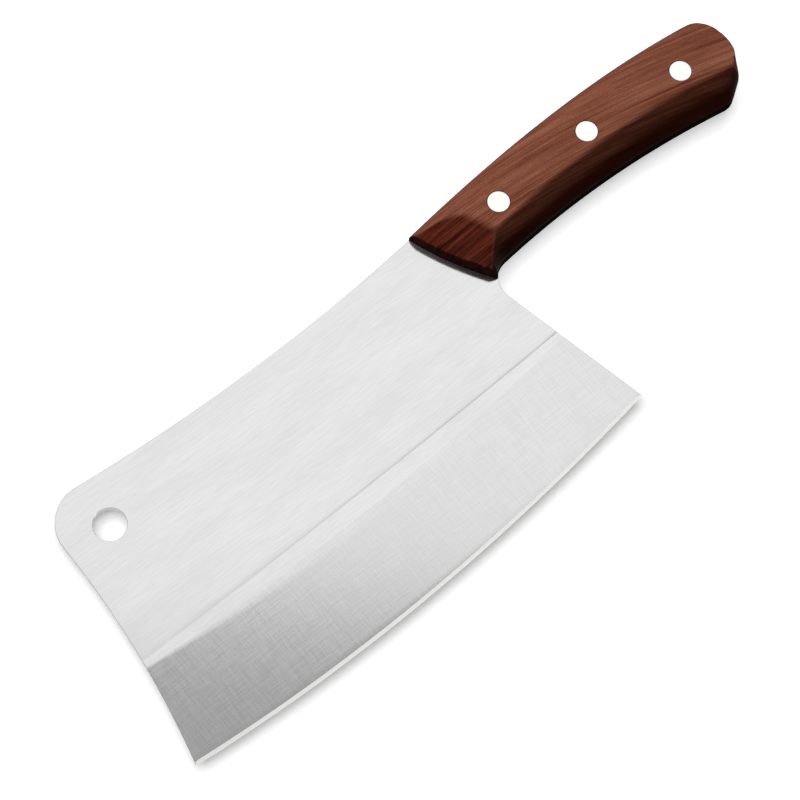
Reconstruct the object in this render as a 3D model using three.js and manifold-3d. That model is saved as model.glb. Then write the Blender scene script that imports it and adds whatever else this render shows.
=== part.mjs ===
// Chopping knife: a full-tang steel cleaver with two hardwood scales held by three two-piece rivets.
// Millimetres. The knife lies on its side: +X runs to the butt, +Y to the spine, +Z up.
// Shapes are drawn from a datum where the spine meets the handle, midway through the blade's
// thickness; the last section moves the whole knife to stand on z = 0.
import * as THREE from "three";
import { mergeVertices } from "three/addons/utils/BufferGeometryUtils.js";
import Module from "manifold-3d";

const wasm = await Module();
wasm.setup();

// Driving sizes: blade
const BLADE_THICKNESS = 3;
const SPINE_LENGTH = 154.3;
const SPINE_DROP = 0.5;
const SPINE_HOLLOW = 4.5;
const TIP_CORNER_RADIUS = 12.6;
const TIP_WIDTH = 96.9;
const TIP_LEAN = 8.7;
const TIP_HOLLOW = 3.55;
const HEEL_BACK = 24.6;
const HEEL_DEPTH = 90;
const EDGE_BELLY = 6.1;
const EDGE_LEAN = 0.04;
const NECK_BACK = 10.4;
const NECK_DEPTH = 26.6;
const NECK_RADIUS = 9.3;

// Driving sizes: ground bevels, given as widths across the blade and thicknesses through it
const BEVEL_WIDTH_TIP = 36.4;
const BEVEL_WIDTH_HEEL = 34.4;
const SHOULDER_SAG = 1.3;
const HOLLOW_WIDTH_ENDS = 2;
const HOLLOW_WIDTH_MIDDLE = 6;
const HOLLOW_DEPTH = 0.1;
const HOLLOW_TURN = 0.3;
const EDGE_BEVEL_WIDTH = 1.2;
const EDGE_BEVEL_THICKNESS = 0.6;
const EDGE_THICKNESS = 0.2;

// Driving sizes: hanging hole
const HOLE_DIAMETER = 11.1;
const HOLE_FROM_TIP = 16.6;
const HOLE_FROM_SPINE = 18.4;

// Driving sizes: handle outline
const HANDLE_LENGTH = 130.2;
const HANDLE_CROWN = 4.1;
const CROWN_LEAN = 0.09;
const BELLY_RISE = 4.3;
const BUTT_TOP = 3.6;
const BUTT_TOP_IN = 5.3;
const BUTT_TOP_RADIUS = 14.4;
const BUTT_BOTTOM = 22.9;
const BUTT_BOTTOM_IN = 3.7;
const BUTT_BOTTOM_RADIUS = 9.8;
const BUTT_BOW = 4.2;
const HEEL_OF_HANDLE_BACK = 118.5;
const HEEL_OF_HANDLE_DEPTH = 28.3;
const HEEL_OF_HANDLE_RADIUS = 6;

// Driving sizes: scales
const SCALE_THICKNESS = 8.5;
const SCALE_EDGE = 0.5;
const SCALE_FRONT_BACK = 13.7;
const SCALE_FRONT_DEPTH = 28.2;
const SCALE_FRONT_AHEAD = 0.7;
const SCALE_FRONT_BOW = 1.3;
const TOP_ROUND_WIDTH = 10;
const CHAMFER_WIDTH_FRONT = 7.2;
const CHAMFER_WIDTH_REAR = 9.4;
const CHAMFER_FLATNESS = 0.6;
const NECK_TAPER = 7.2;
const NECK_TAPER_END = 21.7;
const NECK_TAPER_POWER = 1.3;
const BUTT_ROUND_WIDTH = 0.2;
const BUTT_ROUND_FROM = 14.35;
const BUTT_ROUND_GROWTH = 0.13;
const BUTT_CUT = 0.05;
const FRONT_WALL = 5.9;
const FRONT_LEAN = 3;
const FACET_ANGLE = 12.2;

// Driving sizes: rivets
const RIVET_FIRST = 28.8;
const RIVET_PITCH = 40;
const RIVET_HEAD_DIAMETER = 7.6;
const RIVET_HEAD_THICKNESS = 1.8;
const RIVET_PIN_DIAMETER = 3.2;
const RIVET_TUBE_WALL = 0.9;
const RIVET_BORE_FLOOR = 1.5;

// Clearances
const HEAD_CLEARANCE = 0.15;
const TUBE_CLEARANCE = 0.15;
const PIN_CLEARANCE = 0.1;
const PIN_END_GAP = 0.6;
const TUBE_END_GAP = 3;
const CUTTER_MARGIN = 5;

// How finely curves are drawn
const SIDE_STEPS = 24;
const CORNER_STEPS = 10;
const ROUND_STEPS = 32;
const BEVEL_STATIONS = 30;
const HOLLOW_STEPS = 4;
const SCALE_STATIONS = 30;
const CHAMFER_STEPS = 6;
const FLAT_STEPS = 1;
const TOP_STEPS = 8;

const HALF_BLADE = BLADE_THICKNESS / 2;
const HALF_HANDLE = HALF_BLADE + SCALE_THICKNESS;

// Finishes
const bladeSteel = new THREE.MeshStandardMaterial({ color: 0xc9cacb, roughness: 0.35, metalness: 1 });
const rivetSteel = new THREE.MeshStandardMaterial({ color: 0xd8d7d3, roughness: 0.25, metalness: 1 });
const scaleWood = new THREE.MeshStandardMaterial({ color: 0x5c2b20, roughness: 0.5, metalness: 0 });

// Outlines: corners joined by sides that bow to the left of their direction, corners rounded.
// A lean moves the deepest place of the bow that share of the side towards its end
function bowedSide(start, end, bow, lean = 0) {
  const along = end.clone().sub(start).normalize();
  const left = new THREE.Vector2(-along.y, along.x);
  const control = start.clone().lerp(end, 0.5 + lean).addScaledVector(left, 2 * bow);
  return new THREE.QuadraticBezierCurve(start, control, end);
}

function cornerArc(cornerIn, cornerOut, directionIn, directionOut, radius) {
  const turn = Math.acos(THREE.MathUtils.clamp(directionIn.dot(directionOut), -1, 1));
  const reach = (4 / 3) * Math.tan(turn / 4) * radius;
  const arc = new THREE.CubicBezierCurve(
    cornerIn,
    cornerIn.clone().addScaledVector(directionIn, reach),
    cornerOut.clone().addScaledVector(directionOut, -reach),
    cornerOut
  );
  return arc.getPoints(CORNER_STEPS);
}

// Gives one run of points for each corner: its rounding, then the side that leaves it
function outlineRuns(corners) {
  const count = corners.length;
  const places = corners.map((corner) => new THREE.Vector2(corner.x, corner.y));
  const sides = corners.map((corner, i) =>
    bowedSide(places[i], places[(i + 1) % count], corner.bow, corner.lean));
  const cuts = corners.map((corner, i) => {
    const directionIn = sides[(i + count - 1) % count].getTangent(1);
    const turn = Math.acos(THREE.MathUtils.clamp(directionIn.dot(sides[i].getTangent(0)), -1, 1));
    return corner.radius * Math.tan(turn / 2);
  });
  return corners.map((corner, i) => {
    const before = sides[(i + count - 1) % count];
    const leave = 1 - cuts[i] / before.getLength();
    const join = cuts[i] / sides[i].getLength();
    const stop = 1 - cuts[(i + 1) % count] / sides[i].getLength();
    const run = corner.radius === 0 ? [places[i]] : cornerArc(
      before.getPoint(leave), sides[i].getPoint(join),
      before.getTangent(leave), sides[i].getTangent(join), corner.radius
    );
    const steps = corner.bow === 0 ? 1 : SIDE_STEPS;
    for (let k = 1; k < steps; k++) {
      run.push(sides[i].getPoint(THREE.MathUtils.lerp(join, stop, k / steps)));
    }
    return run;
  });
}

const tipCorner = new THREE.Vector2(-SPINE_LENGTH - TIP_LEAN, -SPINE_DROP - TIP_WIDTH);
const heelCorner = new THREE.Vector2(HEEL_BACK, -HEEL_DEPTH);
const neckCorner = new THREE.Vector2(NECK_BACK, -NECK_DEPTH);
const handleHeel = new THREE.Vector2(HEEL_OF_HANDLE_BACK, -HEEL_OF_HANDLE_DEPTH);
const buttCorner = new THREE.Vector2(HANDLE_LENGTH - BUTT_TOP_IN, BUTT_TOP);
const spineEnd = new THREE.Vector2(0, 0);

const [spineRun, tipRun, edgeRun, heelRun, bellyRun, slantRun, buttRun, topRun] = outlineRuns([
  { x: spineEnd.x, y: spineEnd.y, radius: 0, bow: SPINE_HOLLOW },
  { x: -SPINE_LENGTH, y: -SPINE_DROP, radius: TIP_CORNER_RADIUS, bow: TIP_HOLLOW },
  { x: tipCorner.x, y: tipCorner.y, radius: 0, bow: -EDGE_BELLY, lean: -EDGE_LEAN },
  { x: heelCorner.x, y: heelCorner.y, radius: 0, bow: 0 },
  { x: neckCorner.x, y: neckCorner.y, radius: NECK_RADIUS, bow: BELLY_RISE },
  { x: handleHeel.x, y: handleHeel.y, radius: HEEL_OF_HANDLE_RADIUS, bow: 0 },
  { x: HANDLE_LENGTH - BUTT_BOTTOM_IN, y: -BUTT_BOTTOM, radius: BUTT_BOTTOM_RADIUS, bow: -BUTT_BOW },
  { x: buttCorner.x, y: buttCorner.y, radius: BUTT_TOP_RADIUS, bow: -HANDLE_CROWN, lean: -CROWN_LEAN },
]);

const knifeOutline = [
  ...spineRun, ...tipRun, ...edgeRun, ...heelRun, ...bellyRun, ...slantRun, ...buttRun, ...topRun,
];

// The handle's top and belly as heights along the knife, read off the outline they share with the tang
function heightAlong(points) {
  return (x) => {
    const found = points.findLastIndex((point) => point.x <= x);
    const i = THREE.MathUtils.clamp(found, 0, points.length - 2);
    const share = (x - points[i].x) / (points[i + 1].x - points[i].x);
    return THREE.MathUtils.lerp(points[i].y, points[i + 1].y, share);
  };
}

const bellyLine = heightAlong(bowedSide(neckCorner, handleHeel, BELLY_RISE).getPoints(SIDE_STEPS));
const topSide = bowedSide(buttCorner, spineEnd, -HANDLE_CROWN, -CROWN_LEAN);
const topLine = heightAlong(topSide.getPoints(SIDE_STEPS).reverse());
const buttEnd = Math.max(...buttRun.map((point) => point.x));
const outermost = buttRun.findIndex((point) => point.x === buttEnd);
const topHeight = heightAlong([spineRun[0], ...[...buttRun.slice(outermost), ...topRun].reverse()]);
const neckLeftmost = Math.min(...bellyRun.map((point) => point.x));
const bellyStart = bellyRun.findIndex((point) => point.x === neckLeftmost);
const bellyPath = heightAlong([
  ...bellyRun.slice(bellyStart), ...slantRun, ...buttRun.slice(0, outermost + 1),
]);
const neckFront = lastPlace(neckLeftmost, HANDLE_LENGTH / 2, (x) => x < frontEdge(bellyPath(x)));
const bellyHeight = (x) => bellyPath(Math.max(x, neckFront));

// Solids
function closed(geometry) {
  const bare = geometry.clone();
  bare.deleteAttribute("normal");
  bare.deleteAttribute("uv");
  return mergeVertices(bare, 1e-4);
}

function toManifold(geometry) {
  const bare = closed(geometry);
  return new wasm.Manifold(new wasm.Mesh({
    numProp: 3,
    vertProperties: new Float32Array(bare.attributes.position.array),
    triVerts: new Uint32Array(bare.index.array),
  }));
}

function toGeometry(manifold) {
  const mesh = manifold.getMesh();
  const geometry = new THREE.BufferGeometry();
  geometry.setAttribute("position", new THREE.BufferAttribute(mesh.vertProperties, 3));
  geometry.setIndex(new THREE.BufferAttribute(mesh.triVerts, 1));
  return geometry;
}

function cutAway(geometry, cutters) {
  const solid = cutters.reduce((rest, cutter) => rest.subtract(toManifold(cutter)), toManifold(geometry));
  return toGeometry(solid);
}

function upsideDown(geometry) {
  const turned = closed(geometry);
  const position = turned.attributes.position;
  for (let i = 0; i < position.count; i++) {
    position.setZ(i, -position.getZ(i));
  }
  turned.index.array.reverse();
  return turned;
}

function fromGrid(rows, wrapped) {
  const columns = rows[0].length;
  const positions = rows.flat().flatMap((point) => point.toArray());
  const at = (row, column) => row * columns + (column % columns);
  const triangles = [];
  for (let row = 0; row + 1 < rows.length; row++) {
    for (let column = 0; column + (wrapped ? 0 : 1) < columns; column++) {
      triangles.push(at(row, column), at(row, column + 1), at(row + 1, column));
      triangles.push(at(row, column + 1), at(row + 1, column + 1), at(row + 1, column));
    }
  }
  return { positions, triangles };
}

function solidFrom(positions, triangles) {
  const geometry = new THREE.BufferGeometry();
  geometry.setAttribute("position", new THREE.Float32BufferAttribute(positions, 3));
  geometry.setIndex(triangles);
  return geometry;
}

// A bar with the same closed section at every station, its ends filled in
function lofted(rings) {
  const { positions, triangles } = fromGrid(rings, true);
  const size = rings[0].length;
  const last = (rings.length - 1) * size;
  const flat = rings[0].map((point) => new THREE.Vector2(point.y, point.z));
  for (const [a, b, c] of THREE.ShapeUtils.triangulateShape(flat, [])) {
    triangles.push(a, b, c);
    triangles.push(last + a, last + c, last + b);
  }
  return solidFrom(positions, triangles);
}

function post(diameter, bottom, top, place) {
  const cylinder = new THREE.CylinderGeometry(diameter / 2, diameter / 2, top - bottom, ROUND_STEPS);
  cylinder.rotateX(Math.PI / 2);
  return cylinder.translate(place.x, place.y, (top + bottom) / 2);
}

// Turns a half-section, listed from the bottom of the axis to the top, about a line along Z
function turned(profile, place) {
  const points = profile.map(([radius, height]) => new THREE.Vector2(radius, height));
  const lathe = new THREE.LatheGeometry(points, ROUND_STEPS);
  lathe.rotateX(Math.PI / 2);
  return closed(lathe.translate(place.x, place.y, 0));
}

// Rivet places, midway up the handle
const rivetNames = ["front", "middle", "rear"];
const rivetPlaces = rivetNames.map((name, i) => {
  const x = RIVET_FIRST + i * RIVET_PITCH;
  return new THREE.Vector2(x, (topHeight(x) + bellyHeight(x)) / 2);
});
const tubeBore = RIVET_PIN_DIAMETER + 2 * PIN_CLEARANCE;
const tubeDiameter = tubeBore + 2 * RIVET_TUBE_WALL;
const rivetHole = tubeDiameter + 2 * TUBE_CLEARANCE;
const headHole = RIVET_HEAD_DIAMETER + 2 * HEAD_CLEARANCE;
const headSeat = HALF_HANDLE - RIVET_HEAD_THICKNESS;

// Blade: a plate with a shallow hollow at the shoulder, a flat bevel and a small cutting bevel on each side
function bevelSection(length, share) {
  const spread = 4 * share * (1 - share);
  const hollow = THREE.MathUtils.lerp(HOLLOW_WIDTH_ENDS, HOLLOW_WIDTH_MIDDLE, spread);
  const bevelFoot = new THREE.Vector2(length - EDGE_BEVEL_WIDTH, EDGE_BEVEL_THICKNESS / 2);
  const hollowEnd = new THREE.Vector2(hollow, HALF_BLADE - HOLLOW_DEPTH);
  const control = new THREE.Vector2(hollow * HOLLOW_TURN, hollowEnd.y);
  const crest = new THREE.Vector2(0, HALF_BLADE);
  const curve = new THREE.QuadraticBezierCurve(crest, control, hollowEnd);
  const lead = crest.clone().add(crest.clone().sub(control));
  const beyond = length + CUTTER_MARGIN;
  const above = HALF_BLADE + CUTTER_MARGIN;
  return [
    lead,
    ...curve.getPoints(HOLLOW_STEPS),
    bevelFoot,
    new THREE.Vector2(length, EDGE_THICKNESS / 2),
    new THREE.Vector2(beyond, EDGE_THICKNESS / 2),
    new THREE.Vector2(beyond, above),
    new THREE.Vector2(lead.x, above),
  ];
}

function bevelCutter() {
  const shoulderTip = new THREE.Vector2(tipCorner.x, tipCorner.y + BEVEL_WIDTH_TIP);
  const shoulderHeel = new THREE.Vector2(heelCorner.x, heelCorner.y + BEVEL_WIDTH_HEEL);
  const shoulder = bowedSide(shoulderTip, shoulderHeel, -SHOULDER_SAG);
  const edge = bowedSide(tipCorner, heelCorner, -EDGE_BELLY, -EDGE_LEAN);
  const overrun = CUTTER_MARGIN / (heelCorner.x - tipCorner.x);
  const rings = [];
  for (let i = 0; i <= BEVEL_STATIONS; i++) {
    const share = THREE.MathUtils.lerp(1 + overrun, -overrun, i / BEVEL_STATIONS);
    const from = shoulder.getPoint(share);
    const across = edge.getPoint(share).sub(from);
    const length = across.length();
    across.normalize();
    const inside = THREE.MathUtils.clamp(share, 0, 1);
    rings.push(bevelSection(length, inside).map((point) => new THREE.Vector3(
      from.x + across.x * point.x, from.y + across.y * point.x, point.y
    )));
  }
  return lofted(rings);
}

function makeBlade() {
  const plate = new THREE.ExtrudeGeometry(new THREE.Shape(knifeOutline), {
    depth: BLADE_THICKNESS, bevelEnabled: false,
  });
  plate.translate(0, 0, -HALF_BLADE);
  const bevel = bevelCutter();
  const holePlace = new THREE.Vector2(
    -SPINE_LENGTH + HOLE_FROM_TIP, -SPINE_DROP - HOLE_FROM_SPINE
  );
  const holes = [post(HOLE_DIAMETER, -CUTTER_MARGIN, CUTTER_MARGIN, holePlace)];
  for (const place of rivetPlaces) {
    holes.push(post(rivetHole, -CUTTER_MARGIN, CUTTER_MARGIN, place));
  }
  return cutAway(plate, [bevel, upsideDown(bevel), ...holes]);
}

// Scales: outer face domed down to the top edge, and cut to a rounded chamfer along the belly that
// narrows towards the front and runs out round the butt
function quarterRound(share) {
  const inside = THREE.MathUtils.clamp(share, 0, 1);
  return Math.sqrt(inside * (2 - inside));
}

function chamferRise(share) {
  const inside = THREE.MathUtils.clamp(share, 0, 1);
  return THREE.MathUtils.lerp(quarterRound(inside), inside, CHAMFER_FLATNESS);
}

function scaleSection(x) {
  const top = topHeight(x);
  const belly = bellyHeight(x);
  const span = THREE.MathUtils.clamp((x - NECK_BACK) / (HEEL_OF_HANDLE_BACK - NECK_BACK), 0, 1);
  const swell = Math.sin((Math.PI / 2) * span);
  const chamfer = THREE.MathUtils.lerp(CHAMFER_WIDTH_FRONT, CHAMFER_WIDTH_REAR, swell);
  const towardsFront = Math.max(0, NECK_TAPER_END - x) / (NECK_TAPER_END - NECK_BACK);
  const taper = NECK_TAPER * towardsFront ** NECK_TAPER_POWER;
  const room = (top - belly) / 2;
  const rim = bellyLine(x) + chamfer - taper;
  return {
    top, belly,
    rim: THREE.MathUtils.clamp(rim, belly + room * 0.2, belly + room * 0.9),
    shoulder: Math.min(top - room * 0.2, topLine(x) - Math.min(TOP_ROUND_WIDTH, room * 0.9)),
  };
}

function frontEdge(y) {
  const share = -y / SCALE_FRONT_DEPTH;
  return SCALE_FRONT_BACK * share - SCALE_FRONT_AHEAD - 4 * SCALE_FRONT_BOW * share * (1 - share);
}

// Lines that run along the scale from front to butt, each at a fixed share of the section
function scaleLines() {
  const lines = [];
  for (let i = 0; i < CHAMFER_STEPS; i++) {
    const share = 1 - Math.cos((Math.PI / 2) * (i / CHAMFER_STEPS));
    lines.push((s) => THREE.MathUtils.lerp(s.belly, s.rim, share));
  }
  for (let i = 0; i < FLAT_STEPS; i++) {
    lines.push((s) => THREE.MathUtils.lerp(s.rim, s.shoulder, i / FLAT_STEPS));
  }
  for (let i = 0; i <= TOP_STEPS; i++) {
    const share = Math.sin((Math.PI / 2) * (i / TOP_STEPS));
    lines.push((s) => THREE.MathUtils.lerp(s.shoulder, s.top, share));
  }
  return lines;
}

// Where along the knife a condition that holds at the low end stops holding
function lastPlace(low, high, holds) {
  let [from, to] = [low, high];
  for (let i = 0; i < 40; i++) {
    const halfway = (from + to) / 2;
    [from, to] = holds(halfway) ? [halfway, to] : [from, halfway];
  }
  return to;
}

function lineFront(line) {
  return lastPlace(-HANDLE_LENGTH, HANDLE_LENGTH / 2, (x) => x < frontEdge(line(scaleSection(x))));
}

function roomToButt(place, y) {
  return lastPlace(place, HANDLE_LENGTH, (x) => y > bellyHeight(x) && y < topHeight(x)) - place;
}

function buttRound(y) {
  return BUTT_ROUND_WIDTH + BUTT_ROUND_GROWTH * Math.max(0, -BUTT_ROUND_FROM - y) ** 2;
}

function scaleHeight(x, y) {
  const section = scaleSection(x);
  const rise = Math.min(
    quarterRound((topLine(x) - y) / TOP_ROUND_WIDTH),
    chamferRise((y - section.belly) / (section.rim - section.belly)),
    quarterRound(roomToButt(x, y) / buttRound(y))
  );
  return HALF_BLADE + SCALE_EDGE + (SCALE_THICKNESS - SCALE_EDGE) * rise;
}

// Each line starts with the foot and the head of the leaning front wall; its stations lie closer
// together towards the front and the butt
function scaleBlank() {
  const leaning = Math.tan(THREE.MathUtils.degToRad(FRONT_LEAN));
  const outer = scaleLines().map((line) => {
    const foot = lineFront(line);
    const footY = line(scaleSection(foot));
    const head = foot + leaning * (scaleHeight(foot, footY) - HALF_BLADE);
    const row = [new THREE.Vector3(foot, footY, HALF_BLADE + SCALE_EDGE)];
    for (let i = 0; i <= SCALE_STATIONS; i++) {
      const share = (1 - Math.cos((Math.PI * i) / SCALE_STATIONS)) / 2;
      const x = THREE.MathUtils.lerp(head, buttEnd - BUTT_CUT, share);
      const y = line(scaleSection(x));
      row.push(new THREE.Vector3(x, y, scaleHeight(x, y)));
    }
    return row;
  });
  const inner = outer.map((row) => row.map((point) => new THREE.Vector3(point.x, point.y, HALF_BLADE)));
  return slab(outer, inner);
}

// Closes two matching grids, one above the other, with walls round their border
function slab(upper, lower) {
  const top = fromGrid(upper, false);
  const bottom = fromGrid(lower, false);
  const columns = upper[0].length;
  const rows = upper.length;
  const under = rows * columns;
  const triangles = [...top.triangles, ...bottom.triangles.reverse().map((index) => index + under)];
  const acrossStart = [...Array(columns - 1).keys()];
  const downEnd = [...Array(rows - 1).keys()].map((row) => row * columns + columns - 1);
  const corners = rows * columns - 1;
  const border = [...acrossStart, ...downEnd];
  border.push(...border.map((index) => corners - index));
  border.forEach((corner, i) => {
    const next = border[(i + 1) % border.length];
    triangles.push(corner, corner + under, next);
    triangles.push(next, corner + under, next + under);
  });
  return solidFrom([...top.positions, ...bottom.positions], triangles);
}

// The sloping facet at the front of a scale, cut by a block that leans back from the front edge
function facetCutter() {
  const block = new THREE.BoxGeometry(HANDLE_LENGTH, HANDLE_LENGTH, HALF_HANDLE);
  block.translate(0, 0, HALF_HANDLE / 2);
  block.rotateY(-THREE.MathUtils.degToRad(FACET_ANGLE));
  block.rotateZ(Math.atan2(SCALE_FRONT_BACK, SCALE_FRONT_DEPTH));
  return block.translate(SCALE_FRONT_BACK / 2, -SCALE_FRONT_DEPTH / 2, HALF_BLADE + FRONT_WALL);
}

function makeScale() {
  const cutters = [facetCutter()];
  for (const place of rivetPlaces) {
    cutters.push(post(rivetHole, 0, HALF_HANDLE + CUTTER_MARGIN, place));
    cutters.push(post(headHole, headSeat, HALF_HANDLE + CUTTER_MARGIN, place));
  }
  return cutAway(scaleBlank(), cutters);
}

// Rivets: a headed pin from above, driven into the bore of a headed tube from below
function makePin(place) {
  const head = RIVET_HEAD_DIAMETER / 2;
  const pin = RIVET_PIN_DIAMETER / 2;
  const pinEnd = -HALF_HANDLE + RIVET_BORE_FLOOR + PIN_END_GAP;
  return turned([
    [0, pinEnd], [pin, pinEnd], [pin, headSeat],
    [head, headSeat], [head, HALF_HANDLE], [0, HALF_HANDLE],
  ], place);
}

function makeTube(place) {
  const head = RIVET_HEAD_DIAMETER / 2;
  const wall = tubeDiameter / 2;
  const bore = tubeBore / 2;
  const mouth = headSeat - TUBE_END_GAP;
  const floor = -HALF_HANDLE + RIVET_BORE_FLOOR;
  return turned([
    [0, -HALF_HANDLE], [head, -HALF_HANDLE], [head, -headSeat], [wall, -headSeat],
    [wall, mouth], [bore, mouth], [bore, floor], [0, floor],
  ], place);
}

// Assembly, moved so that the knife lies on z = 0 with its middle over the origin
const knife = new THREE.Group();
knife.name = "chopping_knife";

function add(name, geometry, material) {
  const mesh = new THREE.Mesh(geometry, material);
  mesh.name = name;
  knife.add(mesh);
}

const scale = makeScale();
add("blade", makeBlade(), bladeSteel);
add("upper_scale", scale, scaleWood);
add("lower_scale", upsideDown(scale), scaleWood);
rivetNames.forEach((name, i) => {
  add(`rivet_pin_${name}`, makePin(rivetPlaces[i]), rivetSteel);
  add(`rivet_tube_${name}`, makeTube(rivetPlaces[i]), rivetSteel);
});

const box = new THREE.Box3().setFromObject(knife);
const middle = box.getCenter(new THREE.Vector3());
for (const mesh of knife.children) {
  mesh.geometry.translate(-middle.x, -middle.y, -box.min.z);
}

export default knife;
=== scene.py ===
import math

import bpy
import numpy as np
from mathutils import Matrix, Vector
from mathutils.geometry import delaunay_2d_cdt


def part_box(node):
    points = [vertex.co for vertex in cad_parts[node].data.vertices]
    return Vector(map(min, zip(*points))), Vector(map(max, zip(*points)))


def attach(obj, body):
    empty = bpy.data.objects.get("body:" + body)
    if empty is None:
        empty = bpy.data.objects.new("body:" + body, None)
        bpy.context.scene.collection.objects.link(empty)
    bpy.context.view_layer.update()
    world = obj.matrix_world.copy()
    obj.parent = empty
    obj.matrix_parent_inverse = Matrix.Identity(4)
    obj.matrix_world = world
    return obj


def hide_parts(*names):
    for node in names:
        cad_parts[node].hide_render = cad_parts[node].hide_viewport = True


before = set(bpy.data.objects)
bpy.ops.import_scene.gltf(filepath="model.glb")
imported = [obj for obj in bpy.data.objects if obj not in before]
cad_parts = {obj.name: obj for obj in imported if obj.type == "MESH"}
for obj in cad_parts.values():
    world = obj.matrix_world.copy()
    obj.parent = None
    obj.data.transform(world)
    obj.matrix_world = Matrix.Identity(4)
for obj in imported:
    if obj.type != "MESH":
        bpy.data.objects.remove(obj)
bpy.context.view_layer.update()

# A full-tang chopping knife lying on its side. Sizes are in millimetres, from a datum where the spine
# meets the handle, midway through the blade: +X to the butt, +Y to the spine, +Z up.
MM_PER_METRE = 1000

# Blade
BLADE_THICKNESS = 3.0
SPINE_LENGTH = 154.3
SPINE_DROP = 0.5
SPINE_HOLLOW = 4.5
TIP_CORNER_RADIUS = 12.6
TIP_WIDTH = 96.9
TIP_LEAN = 8.7
TIP_HOLLOW = 3.55
HEEL_BACK = 24.6
HEEL_DEPTH = 90.0
EDGE_BELLY = 6.1
EDGE_LEAN = 0.04
NECK_BACK = 10.4
NECK_DEPTH = 26.6
NECK_RADIUS = 9.3
HOLE_DIAMETER = 11.1
HOLE_FROM_TIP = 16.6
HOLE_FROM_SPINE = 18.4

# Ground bevels
BEVEL_WIDTH_TIP = 36.4
BEVEL_WIDTH_HEEL = 34.4
SHOULDER_SAG = 1.3
HOLLOW_WIDTH_ENDS = 2.0
HOLLOW_WIDTH_MIDDLE = 6.0
CREST_FALL = 0.225
CREST_GROWTH = 1.15
CREST_LEAD = 2.5
CREST_TURN = 0.3
HOLLOW_LIFT = 0.012
HOLLOW_RUN_OUT = 0.12
EDGE_BEVEL_WIDTH = 1.2
EDGE_BEVEL_THICKNESS = 0.6
EDGE_THICKNESS = 0.2
EDGE_LEAD = 2.0
EDGE_LEAD_SLOPE = 0.03
EDGE_TURN = 0.12
PLATE_ARRIS = 0.2
EDGE_ARRIS = 0.06
HOLE_ARRIS = 0.12

# Handle
HANDLE_LENGTH = 130.2
HANDLE_CROWN = 4.1
CROWN_LEAN = 0.09
BELLY_RISE = 4.3
BUTT_TOP = 3.6
BUTT_TOP_IN = 5.3
BUTT_TOP_RADIUS = 14.4
BUTT_BOTTOM = 22.9
BUTT_BOTTOM_IN = 3.7
BUTT_BOTTOM_RADIUS = 9.8
BUTT_BOW = 4.2
HEEL_OF_HANDLE_BACK = 118.5
HEEL_OF_HANDLE_DEPTH = 28.3
HEEL_OF_HANDLE_RADIUS = 6.0
SCALE_THICKNESS = 8.5
SCALE_EDGE = 0.5
SCALE_FRONT_BACK = 13.7
SCALE_FRONT_DEPTH = 28.2
SCALE_FRONT_AHEAD = 0.7
SCALE_FRONT_BOW = 1.3
TOP_ROUND_WIDTH = 10.0
CHAMFER_WIDTH_FRONT = 7.2
CHAMFER_WIDTH_REAR = 9.4
CHAMFER_FLATNESS = 0.6
NECK_TAPER = 7.2
NECK_TAPER_END = 21.7
NECK_TAPER_POWER = 1.3
BUTT_ROUND_WIDTH = 0.2
BUTT_ROUND_FROM = 14.35
BUTT_ROUND_GROWTH = 0.13
BUTT_CUT = 0.05
FRONT_WALL = 5.9
FRONT_LEAN = 3.0
FACET_ANGLE = 12.2

# Shares of half the handle's depth that its chamfer and round top may take, and how far their lines run on
ROOM_LEAST = 0.2
ROOM_MOST = 0.9
BELLY_RUN_ON = 1.15
TOP_RUN_ON = 1.08

# Rivets
RIVET_FIRST = 28.8
RIVET_PITCH = 40.0
RIVET_HEAD_DIAMETER = 7.6
RIVET_HEAD_THICKNESS = 1.8
RIVET_HEAD_ARRIS = 0.1
RIVET_PIN_DIAMETER = 3.2
RIVET_TUBE_WALL = 0.9
RIVET_BORE_FLOOR = 1.5
HEAD_CLEARANCE = 0.15
TUBE_CLEARANCE = 0.15
PIN_CLEARANCE = 0.1
PIN_END_GAP = 0.6
TUBE_END_GAP = 3.0

# Wood finish: how softly its faces meet, how much painted shade darkens the chamfer, end and edges, and how
# they shine
WOOD_SOFTNESS = 0.12
FACET_BLEND = 0.3
CHAMFER_PAINTED_SHADE = 0.8
EDGE_PAINTED_SHADE = 0.75
EDGE_PAINTED_SHADE_FROM = 0.3
END_PAINTED_SHADE = 0.8
FACE_SHEEN = 0.02
EDGE_SHEEN = 0.0

# Wood grain: where along the frame it runs straight, and how sharply it bends from there (per metre)
GRAIN_STRAIGHT_AT = 32.0
GRAIN_BEND = 1.3

# How often each finish changes along, across and through the knife (per metre)
FLANK_BRUSHING = (130, 2200, 2200)
FLANK_CLOUDS = (30, 90, 90)
BEVEL_ACROSS = (2000, 120, 120)
BEVEL_ALONG = (120, 2000, 2000)
BEVEL_CLOUDS = (70, 70, 70)
HONED_ACROSS = (5200, 300, 300)
TANG_GRAIN = (300, 300, 2500)
RIVET_TURNING = (900, 900, 900)
WOOD_STREAKS = (12, 330, 90)
WOOD_LINES = (30, 1200, 200)
WOOD_FIBRES = (140, 3000, 1000)
WOOD_PORES = (1500, 3200, 3200)

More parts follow.
